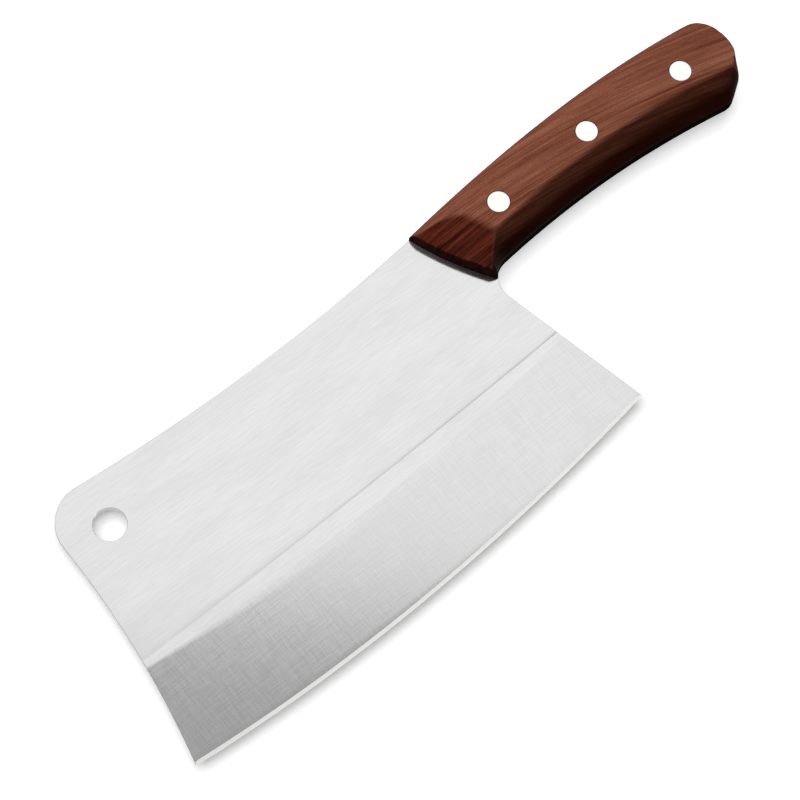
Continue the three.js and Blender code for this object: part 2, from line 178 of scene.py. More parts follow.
# Colours, from dark to pale
FLANK_DARK = (0.545, 0.545, 0.545, 1)
FLANK_PALE = (0.605, 0.605, 0.605, 1)
BEVEL_DARK = (0.545, 0.545, 0.545, 1)
BEVEL_PALE = (0.585, 0.585, 0.585, 1)
HONED_DARK = (0.91, 0.91, 0.88, 1)
HONED_PALE = (0.96, 0.96, 0.94, 1)
# Near black on the tang's rim under the handle: painted shade
TANG_PAINTED_SHADE_DARK = (0.006, 0.005, 0.005, 1)
TANG_PAINTED_SHADE_PALE = (0.014, 0.013, 0.012, 1)
RIVET_DARK = (0.75, 0.745, 0.725, 1)
RIVET_PALE = (0.78, 0.775, 0.755, 1)
WOOD_DARK = (0.135, 0.037, 0.02, 1)
WOOD_BROWN = (0.216, 0.069, 0.038, 1)
WOOD_RED = (0.277, 0.096, 0.057, 1)
WOOD_PALE = (0.345, 0.128, 0.08, 1)
PORE_SHADE = (0.68, 0.66, 0.66, 1)
# Vein streaks on the cut front, also painted shade that darkens the whole cut face
VEIN_AND_SHADE_DARK = (0.13, 0.065, 0.045, 1)
VEIN_AND_SHADE_PALE = (0.45, 0.22, 0.16, 1)
# Painted shade that darkens the wood's chamfer, end and edges
PAINTED_SHADE_TINT = (0.09, 0.04, 0.02, 1)
WHITE = (1, 1, 1, 1)

# How finely curves are drawn
OUTLINE_STEP = 0.5
CORNER_STEPS = 30
BEVEL_STATIONS = 90
ARRIS_STEPS = 3
HOLE_STEPS = 96
SCALE_STATIONS = 190
CHAMFER_LINES = 14
FLAT_LINES = 14
TOP_LINES = 22
FRONT_LINES = 9
LINE_POINTS = 100
SEAT_MARGIN = 0.15
BLADE_SLOPE_STEP = 0.02
WOOD_SLOPE_STEP = 0.01
BEVEL_SEARCH_STEPS = 5
FRONT_SEARCH_FROM = -10.0
FRONT_SEARCH_STEPS = 50
MERGE_DISTANCE = 1e-7
SHARPEST_MITRE = 0.5

# Lines along the bevel: shares of the crest's lead and turn, the hollow, its run-out and the flat below
LEAD_PARTS = (1.5, 1, 0.67, 0.33, 0)
TURN_PARTS = (0.5, 1, 3)
HOLLOW_PARTS = (0.7, 1)
RUN_OUT_PARTS = (0.25, 0.5, 0.75, 1)
FLAT_PARTS = (0.33, 0.66)

# Camera, light and floor, from the same datum
CAMERA_PLACE = (-236.2, -251.1, 749.8)
CAMERA_AIM = (-38.4, -42.4, 0.0)
CAMERA_UP = (0.5766, 0.7351, 0.3567)
CAMERA_LENS = 111.15
CAMERA_SENSOR = 36.0
CARD_HEIGHT = 900.0
CARD_WIDTH = 780.0
CARD_NEAR = 72.0
CARD_FAR = 750.0
CARD_RADIANCE = 0.82
KEY_TOWARDS = (-0.7, 0.7)
KEY_LEAN = 27.0
KEY_DISTANCE = 2400.0
KEY_SIZE = 1400.0
KEY_RADIANCE = 10.7
EDGE_TOWARDS = (0.4, -0.9)
EDGE_LEAN_OVER = 58.0
EDGE_DISTANCE = 1500.0
EDGE_SIZE = 500.0
EDGE_RADIANCE = 9.0
WORLD_FILL = 0.02
WORLD_MIRRORED = 0.55
FLOOR_SEEN = (0.9, 0.9, 0.9, 1)
FLOOR_UNSEEN = (0.06, 0.06, 0.06, 1)
BLADE_FLOOR_GLOW = 0.18
HANDLE_FLOOR_GLOW = 0.5
FLOOR_REACH = 2000.0
FLOOR_NEAR = 200.0
FLOOR_FAR = 280.0
FLOOR_UNDER_BLADE = 4.5
FLOOR_GAP = 0.1
FLOOR_FALL_FROM = -50.0
FLOOR_FALL_TO = -15.0
FLOOR_FALL_STEPS = 16
FLOOR_LAMP_PLACE = (-220.0, 330.0, 900.0)
FLOOR_LAMP_SIZE = 1450.0
FLOOR_LAMP_RADIANCE = 2.65

HALF_BLADE = BLADE_THICKNESS / 2
HALF_HANDLE = HALF_BLADE + SCALE_THICKNESS
HEAD_SEAT = HALF_HANDLE - RIVET_HEAD_THICKNESS
TUBE_BORE = RIVET_PIN_DIAMETER + 2 * PIN_CLEARANCE
TUBE_DIAMETER = TUBE_BORE + 2 * RIVET_TUBE_WALL
RIVET_HOLE = TUBE_DIAMETER + 2 * TUBE_CLEARANCE
HEAD_HOLE = RIVET_HEAD_DIAMETER + 2 * HEAD_CLEARANCE


# Outlines: corners joined by sides that bow to the left of their direction, corners rounded

class Side:
    """A bowed side; a lean moves the deepest place of the bow that share towards the side's end."""

    def __init__(self, start, end, bow, lean=0):
        self.start = np.array(start, float)
        self.end = np.array(end, float)
        chord = self.end - self.start
        self.length = math.hypot(*chord)
        left = np.array((-chord[1], chord[0])) / self.length
        self.control = self.start + chord * (0.5 + lean) + left * 2 * bow

    def point(self, share):
        t = np.asarray(share, float)[..., None]
        return (1 - t) ** 2 * self.start + 2 * t * (1 - t) * self.control + t ** 2 * self.end

    def tangent(self, share):
        t = np.asarray(share, float)[..., None]
        along = (1 - t) * (self.control - self.start) + t * (self.end - self.control)
        return along / np.linalg.norm(along, axis=-1, keepdims=True)


def turn_between(before, after):
    return math.acos(max(-1.0, min(1.0, float(before @ after))))


def corner_arc(before, leave, after, join, radius):
    start, finish = before.point(leave), after.point(join)
    way_in, way_out = before.tangent(leave), after.tangent(join)
    reach = 4 / 3 * math.tan(turn_between(way_in, way_out) / 4) * radius
    t = np.linspace(0, 1, CORNER_STEPS + 1)[:, None]
    return ((1 - t) ** 3 * start + 3 * t * (1 - t) ** 2 * (start + way_in * reach)
            + 3 * t ** 2 * (1 - t) * (finish - way_out * reach) + t ** 3 * finish)


def outline_runs(corners):
    count = len(corners)
    sides = [Side(corners[i][:2], corners[(i + 1) % count][:2], *corners[i][3:]) for i in range(count)]
    cuts = [corners[i][2] * math.tan(turn_between(sides[i - 1].tangent(1), sides[i].tangent(0)) / 2)
            for i in range(count)]
    runs = []
    for i in range(count):
        before, after = sides[i - 1], sides[i]
        join = cuts[i] / after.length
        stop = 1 - cuts[(i + 1) % count] / after.length
        if corners[i][2] > 0:
            run = corner_arc(before, 1 - cuts[i] / before.length, after, join, corners[i][2])
        else:
            run = after.start[None, :]
        steps = max(2, round(after.length * (stop - join) / OUTLINE_STEP))
        runs.append(np.vstack((run, after.point(np.linspace(join, stop, steps + 1)[1:-1]))))
    return runs


tip_corner = (-SPINE_LENGTH - TIP_LEAN, -SPINE_DROP - TIP_WIDTH)
heel_corner = (HEEL_BACK, -HEEL_DEPTH)
neck_corner = (NECK_BACK, -NECK_DEPTH)
handle_heel = (HEEL_OF_HANDLE_BACK, -HEEL_OF_HANDLE_DEPTH)
butt_corner = (HANDLE_LENGTH - BUTT_TOP_IN, BUTT_TOP)
spine_end = (0, 0)

# Each corner: place, radius, and the bow of the side that leaves it, with its lean if it has one
spine_run, tip_run, edge_run, heel_run, belly_run, slant_run, butt_run, top_run = outline_runs((
    (*spine_end, 0, SPINE_HOLLOW),
    (-SPINE_LENGTH, -SPINE_DROP, TIP_CORNER_RADIUS, TIP_HOLLOW),
    (*tip_corner, 0, -EDGE_BELLY, -EDGE_LEAN),
    (*heel_corner, 0, 0),
    (*neck_corner, NECK_RADIUS, BELLY_RISE),
    (*handle_heel, HEEL_OF_HANDLE_RADIUS, 0),
    (HANDLE_LENGTH - BUTT_BOTTOM_IN, -BUTT_BOTTOM, BUTT_BOTTOM_RADIUS, -BUTT_BOW),
    (*butt_corner, BUTT_TOP_RADIUS, -HANDLE_CROWN, -CROWN_LEAN),
))
knife_outline = np.vstack((spine_run, tip_run, edge_run, heel_run, belly_run, slant_run, butt_run, top_run))

# The datum's place in the frame: the outline's box is centred on the blade's box
blade_low, blade_high = (Vector(corner) * MM_PER_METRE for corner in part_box("blade"))
outline_middle = (knife_outline.min(axis=0) + knife_outline.max(axis=0)) / 2
DATUM = (blade_low + blade_high) / 2 - Vector((outline_middle[0], outline_middle[1], 0))


def to_frame(points):
    return (np.asarray(points, float) + np.array(DATUM)) / MM_PER_METRE


def frame_point(place):
    return Vector(to_frame(place))


# Meshes

def soft_min(values, softness):
    values = np.stack(values)
    least = values.min(axis=0)
    return least - softness * np.log(np.exp(-(values - least) / softness).sum(axis=0))


def surface_normals(height, points, step):
    slopes = []
    for axis in ((step, 0), (0, step)):
        ahead, behind = height(points + axis), height(points - np.array(axis))
        slopes.append((ahead - behind) / (2 * step))
    normals = np.column_stack((-slopes[0], -slopes[1], np.ones(len(points))))
    return normals / np.linalg.norm(normals, axis=1, keepdims=True)


def inside_loop(points, loop):
    crossings = np.zeros(len(points), bool)
    for a, b in zip(loop, np.roll(loop, -1, axis=0)):
        spans = (a[1] > points[:, 1]) != (b[1] > points[:, 1])
        rise = b[1] - a[1] if b[1] != a[1] else 1.0
        crossings ^= spans & (points[:, 0] < a[0] + (points[:, 1] - a[1]) * (b[0] - a[0]) / rise)
    return crossings


def loop_edges(first, count):
    return [(first + i, first + (i + 1) % count) for i in range(count)]


def triangulate(border, holes, lines, loose):
    """Fills a border with holes in it, keeping the given lines and loose points as corners."""
    points, edges = [], []
    for loop in (border, *holes):
        edges += loop_edges(len(points), len(loop))
        points += [tuple(point) for point in loop]
    for line in lines:
        edges += [(len(points) + i, len(points) + i + 1) for i in range(len(line) - 1)]
        points += [tuple(point) for point in line]
    points += [tuple(point) for point in loose]
    made = delaunay_2d_cdt([Vector(point) for point in points], edges, [], 0, MERGE_DISTANCE)
    flat = np.array([tuple(corner) for corner in made[0]])
    triangles = np.array([face for face in made[2] if len(face) == 3])
    centres = flat[triangles].mean(axis=1)
    keep = inside_loop(centres, border)
    for hole in holes:
        keep &= ~inside_loop(centres, hole)
    triangles = triangles[keep]
    a, b, c = (flat[triangles[:, i]] for i in range(3))
    ab, ac = b - a, c - a
    turned = ab[:, 0] * ac[:, 1] - ab[:, 1] * ac[:, 0] < 0
    triangles[turned] = triangles[turned][:, ::-1]
    return flat, triangles


def circle(middle, diameter, steps):
    angles = np.arange(steps) * 2 * math.pi / steps
    return np.array(middle) + diameter / 2 * np.column_stack((np.cos(angles), np.sin(angles)))


class Shell:
    """Gathers corners with their normals, and faces with their material numbers."""

    def __init__(self):
        self.corners, self.normals, self.marks, self.faces, self.kinds = [], [], [], [], []

    def add(self, corners, normals, marks=None):
        first = len(self.corners)
        self.corners += [tuple(corner) for corner in corners]
        self.normals += [tuple(normal) for normal in normals]
        self.marks += [(0.0, 0.0)] * len(corners) if marks is None else [tuple(mark) for mark in marks]
        return first

    def face(self, corners, kind=0):
        self.faces.append(tuple(int(corner) for corner in corners))
        self.kinds.append(kind)

    def band(self, lower, upper, kinds):
        count = len(kinds)
        for i in range(count):
            j = (i + 1) % count
            self.face((lower + i, lower + j, upper + j, upper + i), kinds[i])

    def flipped(self):
        other = Shell()
        other.corners = [(x, y, -z) for x, y, z in self.corners]
        other.normals = [(x, y, -z) for x, y, z in self.normals]
        other.marks = list(self.marks)
        other.faces = [face[::-1] for face in self.faces]
        other.kinds = list(self.kinds)
        return other

    def piece(self, name, node, slot, materials):
        mesh = bpy.data.meshes.new(name)
        mesh.from_pydata(to_frame(self.corners).tolist(), [], self.faces)
        mesh.polygons.foreach_set("material_index", self.kinds)
        mesh.polygons.foreach_set("use_smooth", [True] * len(self.faces))
        layer = mesh.uv_layers.new(name="along_and_across")
        corners = np.array([self.corners[loop.vertex_index][:2] for loop in mesh.loops])
        layer.data.foreach_set("uv", (corners / MM_PER_METRE).ravel())
        for mark, values in zip(("cut_face", "painted_shade"), zip(*self.marks)):
            mesh.attributes.new(mark, "FLOAT", "POINT").data.foreach_set("value", values)
        mesh.normals_split_custom_set_from_vertices(self.normals)
        for material in materials:
            mesh.materials.append(material)
        piece = bpy.data.objects.new(name, mesh)
        bpy.context.scene.collection.objects.link(piece)
        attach(piece, "root")
        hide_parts(node)
        return piece


def inward_normals(loop):
    """Unit normals to the left of a closed loop, and how far a mitre must stretch them."""
    ahead = np.roll(loop, -1, axis=0) - loop
    ahead /= np.linalg.norm(ahead, axis=1, keepdims=True)
    left = np.column_stack((-ahead[:, 1], ahead[:, 0]))
    both = left + np.roll(left, 1, axis=0)
    both /= np.linalg.norm(both, axis=1, keepdims=True)
    return both, 1 / np.maximum(SHARPEST_MITRE, (both * left).sum(axis=1))


# Blade

shoulder_side = Side((tip_corner[0], tip_corner[1] + BEVEL_WIDTH_TIP),
                     (heel_corner[0], heel_corner[1] + BEVEL_WIDTH_HEEL), -SHOULDER_SAG)
edge_side = Side(tip_corner, heel_corner, -EDGE_BELLY, -EDGE_LEAN)
rivet_names = ("front", "middle", "rear")
FLANK, BEVEL, HONED, TANG = range(4)


def bevel_place(points):
    """Share along the blade, distance below the shoulder and the bevel's whole width, for each point."""
    share = (points[:, 0] - shoulder_side.start[0]) / (shoulder_side.end[0] - shoulder_side.start[0])
    for _ in range(BEVEL_SEARCH_STEPS):
        top = shoulder_side.point(share)
        across = edge_side.point(share) - top
        width = np.linalg.norm(across, axis=1)
        across /= width[:, None]
        depth = ((points - top) * across).sum(axis=1)
        miss = points - top - across * depth[:, None]
        share = share + (miss[:, 0] - miss[:, 1] * across[:, 0]) / edge_side.length
    return share, depth, width


def swelling(share):
    """Nothing at the tip and the heel, one midway between them."""
    inside = np.clip(share, 0, 1)
    return 4 * inside * (1 - inside)


def hollow_width(share):
    return HOLLOW_WIDTH_ENDS + (HOLLOW_WIDTH_MIDDLE - HOLLOW_WIDTH_ENDS) * swelling(share)


def hollow_run_out(hollow):
    """How far past the hollow the bevel takes to turn: short where the hollow is narrow."""
    return HOLLOW_RUN_OUT * hollow ** 2


def half_thickness(points):
    """Half the blade's thickness: the slope across the bevel changes evenly between a few places."""
    share, depth, width = bevel_place(points)
    hollow = hollow_width(share)
    run_out = hollow_run_out(hollow)
    foot = width - EDGE_BEVEL_WIDTH
    honed = (EDGE_BEVEL_THICKNESS - EDGE_THICKNESS) / 2 / EDGE_BEVEL_WIDTH
    drop = HALF_BLADE - EDGE_BEVEL_THICKNESS / 2 - EDGE_LEAD * EDGE_LEAD_SLOPE / 2
    fall = CREST_FALL * np.clip(share, 0, 1) ** CREST_GROWTH
    drop = drop - CREST_LEAD * fall / 2 - CREST_TURN * (fall - HOLLOW_LIFT) / 2
    drop = drop + HOLLOW_LIFT * (hollow - CREST_TURN + run_out / 2)
    bevel = drop / (foot - hollow - run_out / 2)
    places = (-CREST_LEAD, 0, CREST_TURN, hollow, hollow + run_out, foot - EDGE_LEAD, foot,
              foot + EDGE_TURN, width + EDGE_LEAD)
    slopes = (0, fall, -HOLLOW_LIFT, -HOLLOW_LIFT, bevel, bevel, bevel + EDGE_LEAD_SLOPE, honed, honed)
    height = np.full(len(points), HALF_BLADE)
    for k in range(len(places) - 1):
        length = places[k + 1] - places[k]
        along = np.clip(depth - places[k], 0, length)
        height = height - slopes[k] * along - (slopes[k + 1] - slopes[k]) * along ** 2 / (2 * length)
    return height


def bevel_lines(border):
    """Lines along the blade at fixed places across the bevel, kept to the inside of the border."""
    shares = np.linspace(0, 1, BEVEL_STATIONS + 1)
    top, bottom = shoulder_side.point(shares), edge_side.point(shares)
    width = np.linalg.norm(bottom - top, axis=1)
    hollow = hollow_width(shares)
    foot = width - EDGE_BEVEL_WIDTH
    run_out = hollow_run_out(hollow)
    depths = [np.full_like(width, -CREST_LEAD * part) for part in LEAD_PARTS]
    depths += [np.full_like(width, CREST_TURN * part) for part in TURN_PARTS]
    depths += [hollow * part for part in HOLLOW_PARTS]
    depths += [hollow + run_out * part for part in RUN_OUT_PARTS]
    depths += [hollow + run_out + (foot - hollow - run_out) * part for part in FLAT_PARTS]
    depths += [foot + place for place in (-EDGE_LEAD, -EDGE_LEAD / 2, 0)]
    depths += [foot + place for place in (EDGE_TURN / 2, EDGE_TURN, EDGE_BEVEL_WIDTH / 2)]
    lines = []
    for depth in depths:
        line = top + (bottom - top) * (depth / width)[:, None]
        inside = inside_loop(line, border)
        lines.append(line[inside])
    return lines


def rounded_rim(shell, loop, arris, height, kinds):
    """Quarter-round edge from the loop inwards; gives the inner loop and where its corners start."""
    normals, stretch = inward_normals(loop)
    firsts = []
    for step in range(ARRIS_STEPS + 1):
        angle = math.pi / 2 * step / ARRIS_STEPS
        ring = loop + normals * (arris * stretch * (1 - math.cos(angle)))[:, None]
        level = height(loop + normals * (arris * stretch)[:, None]) - arris * (1 - math.sin(angle))
        facing = np.column_stack((-normals * math.cos(angle), np.full(len(loop), math.sin(angle))))
        firsts.append(shell.add(np.column_stack((ring, level)), facing))
    for lower, upper in zip(firsts, firsts[1:]):
        shell.band(lower, upper, kinds)
    return ring, firsts[0]


def rivet_place(index):
    x = RIVET_FIRST + index * RIVET_PITCH
    return x, float(top_height(x) + belly_height(x)) / 2


def make_blade(materials):
    half = Shell()
    on_edge = np.zeros(len(knife_outline), bool)
    edge_first = len(spine_run) + len(tip_run)
    on_edge[edge_first:edge_first + len(edge_run) + 1] = True
    arris = np.where(on_edge, EDGE_ARRIS, PLATE_ARRIS)
    # Behind the scales' front the rim takes the tang finish, which is painted shade
    on_tang = knife_outline[:, 0] >= front_edge(knife_outline[:, 1])
    kinds = np.where(on_tang, TANG, np.where(on_edge, HONED, FLANK)).tolist()
    border, wall = rounded_rim(half, knife_outline, arris, half_thickness, kinds)
    walls = [(wall, kinds)]
    hole_place = (-SPINE_LENGTH + HOLE_FROM_TIP, -SPINE_DROP - HOLE_FROM_SPINE)
    hole_loops = [circle(hole_place, HOLE_DIAMETER, HOLE_STEPS)[::-1]]
    hole_loops += [circle(rivet_place(i), RIVET_HOLE, HOLE_STEPS)[::-1] for i in range(len(rivet_names))]
    holes = []
    for loop in hole_loops:
        kinds = [FLANK] * HOLE_STEPS
        hole, wall = rounded_rim(half, loop, np.full(HOLE_STEPS, HOLE_ARRIS), half_thickness, kinds)
        walls.append((wall, kinds))
        holes.append(hole)
    lines = bevel_lines(border)
    flat, triangles = triangulate(border, holes, lines, [])
    heights = half_thickness(flat)
    facing = surface_normals(half_thickness, flat, BLADE_SLOPE_STEP)
    inner = half.add(np.column_stack((flat, heights)), facing)
    share, depth, width = bevel_place(flat[triangles].mean(axis=1))
    ground = depth > hollow_width(share)
    kinds = np.where(ground, np.where(depth < width - EDGE_BEVEL_WIDTH, BEVEL, HONED), FLANK)
    for triangle, kind in zip(triangles, kinds):
        half.face(triangle + inner, int(kind))
    whole = Shell()
    for side in (half, half.flipped()):
        first = whole.add(side.corners, side.normals)
        for face, kind in zip(side.faces, side.kinds):
            whole.face([corner + first for corner in face], kind)
    for wall, kinds in walls:
        whole.band(wall + len(half.corners), wall, kinds)
    return whole.piece("blade_ground", "blade", "blade_steel", materials)


# Scales

outermost = int(butt_run[:, 0].argmax())
top_path = np.vstack((spine_run[:1], np.vstack((butt_run[outermost:], top_run))[::-1]))


def height_on(path, x):
    return np.interp(x, path[:, 0], path[:, 1])


def top_height(x):
    return height_on(top_path, x)


def front_edge(y):
    share = -y / SCALE_FRONT_DEPTH
    return SCALE_FRONT_BACK * share - SCALE_FRONT_AHEAD - 4 * SCALE_FRONT_BOW * share * (1 - share)


neck_leftmost = int(belly_run[:, 0].argmin())
belly_path = np.vstack((belly_run[neck_leftmost:], slant_run, butt_run[:outermost + 1]))
belly_path = belly_path[belly_path[:, 0] >= front_edge(belly_path[:, 1])]


def run_on_line(side, run_on):
    """Points on a side and as far past its end as the run-on says."""
    return side.point(np.linspace(0, run_on, round(LINE_POINTS * run_on)))


belly_line = run_on_line(Side(neck_corner, handle_heel, BELLY_RISE), BELLY_RUN_ON)
top_line = run_on_line(Side(spine_end, butt_corner, HANDLE_CROWN, CROWN_LEAN), TOP_RUN_ON)


def belly_height(x):
    return height_on(belly_path, x)


def scale_section(x):
    """Heights across the knife of its top, its belly, the chamfer's rim and the round top's shoulder."""
    top, belly = top_height(x), belly_height(x)
    span = np.clip((x - NECK_BACK) / (HEEL_OF_HANDLE_BACK - NECK_BACK), 0, 1)
    swell = np.sin(math.pi / 2 * span)
    chamfer = CHAMFER_WIDTH_FRONT + (CHAMFER_WIDTH_REAR - CHAMFER_WIDTH_FRONT) * swell
    towards_front = np.maximum(0, NECK_TAPER_END - x) / (NECK_TAPER_END - NECK_BACK)
    taper = NECK_TAPER * towards_front ** NECK_TAPER_POWER
    room = (top - belly) / 2
    least, most = room * ROOM_LEAST, room * ROOM_MOST
    rim = np.clip(height_on(belly_line, x) + chamfer - taper, belly + least, belly + most)
    shoulder = height_on(top_line, x) - np.minimum(TOP_ROUND_WIDTH, most)
    return top, belly, rim, np.minimum(top - least, shoulder)


def quarter_round(share):
    inside = np.clip(share, 0, 1)
    return np.sqrt(inside * (2 - inside))


def chamfer_rise(share):
    """Rises from upright at the belly; past the rim it goes on at the rim's slope."""
    straight = np.maximum(share, 0)
    return CHAMFER_FLATNESS * straight + (1 - CHAMFER_FLATNESS) * quarter_round(share)


butt_path = np.vstack((slant_run, butt_run, top_run[:int(top_run[:, 1].argmax()) + 1]))
facet_along = np.array((SCALE_FRONT_DEPTH, SCALE_FRONT_BACK))
facet_along /= np.linalg.norm(facet_along)
facet_middle = np.array((SCALE_FRONT_BACK, -SCALE_FRONT_DEPTH)) / 2


def scale_faces(points):
    """Heights above the blade's middle of a scale's crown, belly chamfer, butt, front facet and end."""
    x, y = points[:, 0], points[:, 1]
    belly, rim = scale_section(x)[1:3]
    depth = SCALE_THICKNESS - SCALE_EDGE
    base = HALF_BLADE + SCALE_EDGE
    from_top = height_on(top_line, x) - y
    crown = base + depth * quarter_round(from_top / TOP_ROUND_WIDTH)
    chamfer = base + depth * chamfer_rise((y - belly) / (rim - belly))
    butt_width = BUTT_ROUND_WIDTH + BUTT_ROUND_GROWTH * np.maximum(0, -BUTT_ROUND_FROM - y) ** 2
    from_butt = (np.interp(y, butt_path[:, 1], butt_path[:, 0]) - x) / butt_width
    butt = base + depth * (quarter_round(from_butt) + np.maximum(from_butt - 1, 0))
    rise = math.tan(math.radians(FACET_ANGLE)) * ((points - facet_middle) @ facet_along)
    from_front = (x - front_edge(y)) * facet_along[0]
    end = base + from_front / math.tan(math.radians(FRONT_LEAN))
    return crown, chamfer, butt, HALF_BLADE + FRONT_WALL + rise, end


def scale_height(points):
    return soft_min(scale_faces(points), WOOD_SOFTNESS)


def wood_marks(points):
    """How far each point belongs to the cut front, and how much painted shade it gets: the chamfer and the
    end are painted darker, and more so towards the tang."""
    crown, chamfer, butt, facet, end = scale_faces(points)
    level = np.minimum(crown, butt)
    cut = 0.5 + (np.minimum(level, chamfer) - np.minimum(facet, end)) / (2 * FACET_BLEND)
    on_chamfer = 0.5 + (np.minimum(level, facet) - np.minimum(chamfer, end)) / (2 * FACET_BLEND)
    sunk = (HALF_HANDLE - scale_height(points)) / SCALE_THICKNESS
    # Painted shade deepens towards the tang
    shade_towards_tang = np.maximum(0, sunk - EDGE_PAINTED_SHADE_FROM) / (1 - EDGE_PAINTED_SHADE_FROM)
    on_end = 0.5 + (np.minimum(np.minimum(level, facet), chamfer) - end) / (2 * FACET_BLEND)
    painted_shade = CHAMFER_PAINTED_SHADE * np.clip(on_chamfer, 0, 1) + EDGE_PAINTED_SHADE * shade_towards_tang
    painted_shade = painted_shade + (END_PAINTED_SHADE - painted_shade) * np.clip(on_end, 0, 1)
    return np.clip(np.column_stack((cut, painted_shade)), 0, 1)


BELLY_TO_RIM, RIM_TO_SHOULDER, SHOULDER_TO_TOP = range(3)


def scale_lines():
    """Lines along the scale, each by the stretch of the section it is in and its share across that."""
    quarter = math.pi / 2
    chamfer, level, top = (np.linspace(0, 1, count + 1) for count in (CHAMFER_LINES, FLAT_LINES, TOP_LINES))
    lines = [(BELLY_TO_RIM, 1 - math.cos(quarter * share)) for share in chamfer[:-1]]
    lines += [(RIM_TO_SHOULDER, share) for share in level[:-1]]
    lines += [(SHOULDER_TO_TOP, math.sin(quarter * share)) for share in top]
    return lines


def line_y(line, x):
    stretch, share = line
    top, belly, rim, shoulder = scale_section(x)
    low, high = ((belly, rim), (rim, shoulder), (shoulder, top))[stretch]
    return low + (high - low) * share


def line_front(line):
    """Where a line along the scale meets the scale's front edge."""
    low, high = FRONT_SEARCH_FROM, HANDLE_LENGTH / 2
    for _ in range(FRONT_SEARCH_STEPS):
        halfway = (low + high) / 2
        if halfway < front_edge(float(line_y(line, halfway))):
            low = halfway
        else:
            high = halfway
    return high


def scale_grid():
    shares = (1 - np.cos(np.linspace(0, math.pi, SCALE_STATIONS + 1))) / 2
    rows = []
    for line in scale_lines():
        front = line_front(line)
        x = front + (butt_run[outermost, 0] - BUTT_CUT - front) * shares
        rows.append(np.column_stack((x, line_y(line, x))))
    return np.array(rows)


def grid_border(grid):
    return np.vstack((grid[0, :-1], grid[:-1, -1], grid[-1, :0:-1], grid[:0:-1, 0]))


FACE_WOOD, EDGE_WOOD = range(2)


def make_scale_shell():
    shell = Shell()
    grid = scale_grid()
    border = grid_border(grid)
    places = [rivet_place(i) for i in range(len(rivet_names))]
    seats = [circle(place, HEAD_HOLE, HOLE_STEPS) for place in places]
    front_lines = [grid[1:-1, i] for i in range(1, FRONT_LINES + 1)]
    loose = grid[1:-1, FRONT_LINES + 1:-1].reshape(-1, 2)
    clear = np.ones(len(loose), bool)
    for place in places:
        clear &= np.linalg.norm(loose - np.array(place), axis=1) > HEAD_HOLE / 2 + SEAT_MARGIN
    flat, triangles = triangulate(border, seats, front_lines, loose[clear])
    facing = surface_normals(scale_height, flat, WOOD_SLOPE_STEP)
    first = shell.add(np.column_stack((flat, scale_height(flat))), facing, wood_marks(flat))
    for triangle in triangles:
        shell.face(triangle + first)
    outward = -inward_normals(border)[0]
    facing = np.column_stack((outward, np.zeros(len(border))))
    # The scale's bare edge all round is in full painted shade
    painted_shade = [(0.0, 1.0)] * len(border)
    upper = shell.add(np.column_stack((border, scale_height(border))), facing, wood_marks(border))
    lower = shell.add(np.column_stack((border, np.full(len(border), HALF_BLADE))), facing, painted_shade)
    shell.band(lower, upper, [EDGE_WOOD] * len(border))
    shafts = []
    for place, seat in zip(places, seats):
        shaft = circle(place, RIVET_HOLE, HOLE_STEPS)
        shafts.append(shaft)
        towards = np.column_stack(((np.array(place) - seat) / (HEAD_HOLE / 2), np.zeros(HOLE_STEPS)))
        levels = [(seat, scale_height(seat), towards), (seat, HEAD_SEAT, towards),
                  (seat, HEAD_SEAT, (0, 0, 1)), (shaft, HEAD_SEAT, (0, 0, 1)),
                  (shaft, HEAD_SEAT, towards), (shaft, HALF_BLADE, towards)]
        starts = [shell.add(np.column_stack((loop, np.broadcast_to(level, HOLE_STEPS))),
                            np.broadcast_to(normal, (HOLE_STEPS, 3))) for loop, level, normal in levels]
        for start, stop in zip(starts[::2], starts[1::2]):
            shell.band(start, stop, [FACE_WOOD] * HOLE_STEPS)
    flat, triangles = triangulate(border, shafts, [], [])
    under = shell.add(np.column_stack((flat, np.full(len(flat), HALF_BLADE))), [(0, 0, -1)] * len(flat))
    for triangle in triangles:
        shell.face(triangle[::-1] + under)
    return shell


# Rivets

def turned(profile, place):
    """Turns a half-section about an upright line; each stretch between two corners has its own normal."""
    shell = Shell()
    turns = circle((0, 0), 2, HOLE_STEPS)
    for (r0, z0), (r1, z1) in zip(profile, profile[1:]):
        length = math.hypot(r1 - r0, z1 - z0)
        across, up = (z1 - z0) / length, (r0 - r1) / length
        facing = np.column_stack((turns * across, np.full(HOLE_STEPS, up)))
        starts = []
        for radius, level in ((r0, z0), (r1, z1)):
            ring = np.column_stack((turns * radius + np.array(place), np.full(HOLE_STEPS, level)))
            if radius == 0:
                ring, facing_here = ring[:1], facing[:1] * (0, 0, 1)
            else:
                facing_here = facing
            starts.append((shell.add(ring, facing_here), len(ring)))
        (low, low_count), (high, high_count) = starts
        for i in range(HOLE_STEPS):
            j = (i + 1) % HOLE_STEPS
            if low_count == 1:
                shell.face((low, high + j, high + i))
            elif high_count == 1:
                shell.face((low + i, low + j, high))
            else:
                shell.face((low + i, low + j, high + j, high + i))
    return shell


def rivet_half(kind, index, profile, materials):
    name = rivet_names[index]
    shell = turned(profile, rivet_place(index))
    return shell.piece(f"bright_{kind}_{name}", f"rivet_{kind}_{name}", "rivet_steel", materials)


def make_pin(index, materials):
    head, pin = RIVET_HEAD_DIAMETER / 2, RIVET_PIN_DIAMETER / 2
    end = -HALF_HANDLE + RIVET_BORE_FLOOR + PIN_END_GAP
    profile = ((0, end), (pin, end), (pin, HEAD_SEAT), (head, HEAD_SEAT),
               (head, HALF_HANDLE - RIVET_HEAD_ARRIS), (head - RIVET_HEAD_ARRIS, HALF_HANDLE),
               (0, HALF_HANDLE))
    return rivet_half("pin", index, profile, materials)


